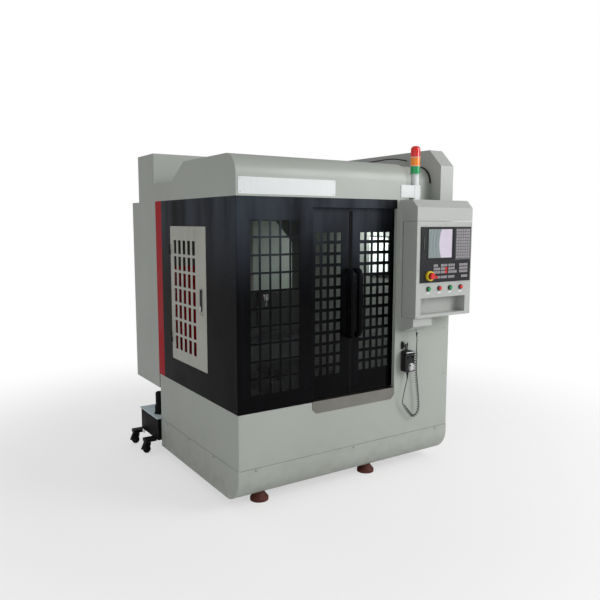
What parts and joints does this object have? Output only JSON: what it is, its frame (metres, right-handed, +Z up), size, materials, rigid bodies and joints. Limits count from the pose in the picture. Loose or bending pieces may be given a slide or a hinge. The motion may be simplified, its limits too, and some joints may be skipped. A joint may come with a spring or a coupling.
{
  "type": "vertical machining center",
  "caption": "Enclosed vertical milling machine with sliding doors, a swinging control console, a side door, a hand pendant and a wheeled coolant tank.",
  "frame": {"origin": "bottom centre of the machine's bounding box, measured without its two cords", "axes": "+Z up, -Y out of the front doors towards the operator, +X to the operator's right"},
  "size_m": [1.75, 1.867, 2.107],
  "materials": {
    "foot_finish": "rough, brown",
    "casing_paint": "satin",
    "bright_sheet": "brushed",
    "black_paint": "satin",
    "clear_pane": "clear, slightly dark",
    "red_paint": "satin",
    "side_door_paint": "satin",
    "zinc_plate": "zinc plated",
    "panel_plastic": "matte",
    "key_plastic": "matte",
    "red_plastic": "gloss",
    "green_plastic": "gloss",
    "white_plastic": "matte",
    "green_lens": "gloss, translucent",
    "amber_lens": "gloss, translucent",
    "red_lens": "gloss, translucent",
    "pendant_plastic": "matte",
    "wheel_metal": "turned",
    "casting_paint": "painted casting",
    "ground_steel": "ground",
    "tool_steel": "polished",
    "tank_paint": "satin",
    "wheel_rubber": "matte",
    "cord_rubber": "matte",
    "cable_rubber": "matte"
  },
  "bodies": {
    "machine": {"levelling_feet": "foot_finish", "lower_skirt": "casing_paint", "base_casing": "casing_paint", "chip_pan": "bright_sheet", "sill_plate": "bright_sheet", "fixed_window_panel": "black_paint", "fixed_window_pane": "clear_pane", "door_header": "black_paint", "left_side_panel": "black_paint", "right_front_panel": "casing_paint", "right_side_panel": "casing_paint", "inner_right_wall": "casing_paint", "rear_partition": "red_paint", "hood": "casing_paint", "right_hood": "casing_paint", "right_top_cover": "casing_paint", "rear_top_box": "casing_paint", "rear_cabinet": "casing_paint", "console_bracket": "casing_paint", "signal_tower_base": "white_plastic", "green_lens": "green_lens", "amber_lens": "amber_lens", "red_lens": "red_lens", "pendant_body": "pendant_plastic", "machine_bed": "casting_paint", "machine_column": "casting_paint", "coolant_tank": "tank_paint", "coolant_pump": "tank_paint", "pendant_cord": "cord_rubber", "tower_cable": "cable_rubber"},
    "left_door": {"left_door_leaf": "black_paint", "left_door_pane": "clear_pane", "left_door_handle": "black_paint"},
    "right_door": {"right_door_leaf": "black_paint", "right_door_pane": "clear_pane", "right_door_handle": "black_paint"},
    "side_door": {"side_door_leaf": "side_door_paint"},
    "side_latch": {"side_door_latch": "zinc_plate"},
    "cabinet_door": {"cabinet_door": "casing_paint"},
    "console": {"console_box": "casing_paint", "display_unit": "panel_plastic", "console_keys": "key_plastic"},
    "stop_button": {"emergency_stop": "red_plastic"},
    "green_button_1": {"first_green_button": "green_plastic"},
    "red_button_1": {"first_red_button": "red_plastic"},
    "green_button_2": {"second_green_button": "green_plastic"},
    "red_button_2": {"second_red_button": "red_plastic"},
    "handwheel": {"pendant_handwheel": "wheel_metal"},
    "axis_selector": {"axis_knob": "pendant_plastic"},
    "rate_selector": {"rate_knob": "pendant_plastic"},
    "saddle": {"saddle": "casting_paint"},
    "table": {"work_table": "ground_steel"},
    "head": {"spindle_head": "casting_paint", "head_cover": "casing_paint"},
    "spindle": {"spindle": "tool_steel"},
    "front_caster": {"front_caster_fork": "tank_paint"},
    "rear_caster": {"rear_caster_fork": "tank_paint"},
    "front_wheel": {"front_caster_wheel": "wheel_rubber"},
    "rear_wheel": {"rear_caster_wheel": "wheel_rubber"},
    "fixed_wheels": {"fixed_caster_wheels": "wheel_rubber"}
  },
  "joints": [
    {"name": "left_door_slide", "type": "slide", "parent": "machine", "child": "left_door", "axis": [-1, 0, 0], "range_m": [0, 0.24]},
    {"name": "right_door_slide", "type": "slide", "parent": "machine", "child": "right_door", "axis": [1, 0, 0], "range_m": [0, 0.26]},
    {"name": "side_door_hinge", "type": "hinge", "parent": "machine", "child": "side_door", "pos_m": [-0.7575, 0.19, 0.74], "axis": [0, 0, -1], "range_deg": [0, 110]},
    {"name": "side_latch_lever", "type": "hinge", "parent": "side_door", "child": "side_latch", "pos_m": [-0.759, -0.2885, 1.2295], "axis": [0, 1, 0], "range_deg": [0, 60]},
    {"name": "cabinet_door_hinge", "type": "hinge", "parent": "machine", "child": "cabinet_door", "pos_m": [0.3575, 0.9235, 0.678], "axis": [0, 0, -1], "range_deg": [0, 120]},
    {"name": "console_swivel", "type": "hinge", "parent": "machine", "child": "console", "pos_m": [0.427, -0.829, 1.04], "axis": [0, 0, -1], "range_deg": [0, 45]},
    {"name": "stop_button_press", "type": "slide", "parent": "console", "child": "stop_button", "axis": [0, 1, 0], "range_m": [0, 0.006]},
    {"name": "green_button_1_press", "type": "slide", "parent": "console", "child": "green_button_1", "axis": [0, 1, 0], "range_m": [0, 0.004], "stiffness_N_per_m": 300},
    {"name": "red_button_1_press", "type": "slide", "parent": "console", "child": "red_button_1", "axis": [0, 1, 0], "range_m": [0, 0.004], "stiffness_N_per_m": 300},
    {"name": "green_button_2_press", "type": "slide", "parent": "console", "child": "green_button_2", "axis": [0, 1, 0], "range_m": [0, 0.004], "stiffness_N_per_m": 300},
    {"name": "red_button_2_press", "type": "slide", "parent": "console", "child": "red_button_2", "axis": [0, 1, 0], "range_m": [0, 0.004], "stiffness_N_per_m": 300},
    {"name": "handwheel_turn", "type": "hinge", "parent": "machine", "child": "handwheel", "pos_m": [0.465, -0.7895, 0.714], "axis": [0, 1, 0], "continuous": true},
    {"name": "axis_selector_turn", "type": "hinge", "parent": "machine", "child": "axis_selector", "pos_m": [0.437, -0.7895, 0.78], "axis": [0, 1, 0], "range_deg": [-60, 60]},
    {"name": "rate_selector_turn", "type": "hinge", "parent": "machine", "child": "rate_selector", "pos_m": [0.475, -0.7895, 0.78], "axis": [0, 1, 0], "range_deg": [-45, 45]},
    {"name": "saddle_travel", "type": "slide", "parent": "machine", "child": "saddle", "axis": [0, 1, 0], "range_m": [-0.16, 0.11]},
    {"name": "table_travel", "type": "slide", "parent": "saddle", "child": "table", "axis": [1, 0, 0], "range_m": [-0.2, 0.2]},
    {"name": "head_travel", "type": "slide", "parent": "machine", "child": "head", "axis": [0, 0, 1], "range_m": [-0.2, 0.1]},
    {"name": "spindle_turn", "type": "hinge", "parent": "head", "child": "spindle", "pos_m": [-0.141, 0.0075, 1.19], "axis": [0, 0, 1], "continuous": true},
    {"name": "front_caster_swivel", "type": "hinge", "parent": "machine", "child": "front_caster", "pos_m": [-0.823, 0.5125, 0.084], "axis": [0, 0, 1], "continuous": true},
    {"name": "front_wheel_roll", "type": "hinge", "parent": "front_caster", "child": "front_wheel", "pos_m": [-0.835, 0.5125, 0.027], "axis": [0, 1, 0], "continuous": true},
    {"name": "rear_caster_swivel", "type": "hinge", "parent": "machine", "child": "rear_caster", "pos_m": [-0.823, 0.7525, 0.084], "axis": [0, 0, 1], "continuous": true},
    {"name": "rear_wheel_roll", "type": "hinge", "parent": "rear_caster", "child": "rear_wheel", "pos_m": [-0.835, 0.7525, 0.027], "axis": [0, 1, 0], "continuous": true},
    {"name": "fixed_wheels_roll", "type": "hinge", "parent": "machine", "child": "fixed_wheels", "pos_m": [-0.101, 0.5125, 0.027], "axis": [0, 1, 0], "continuous": true}
  ]
}
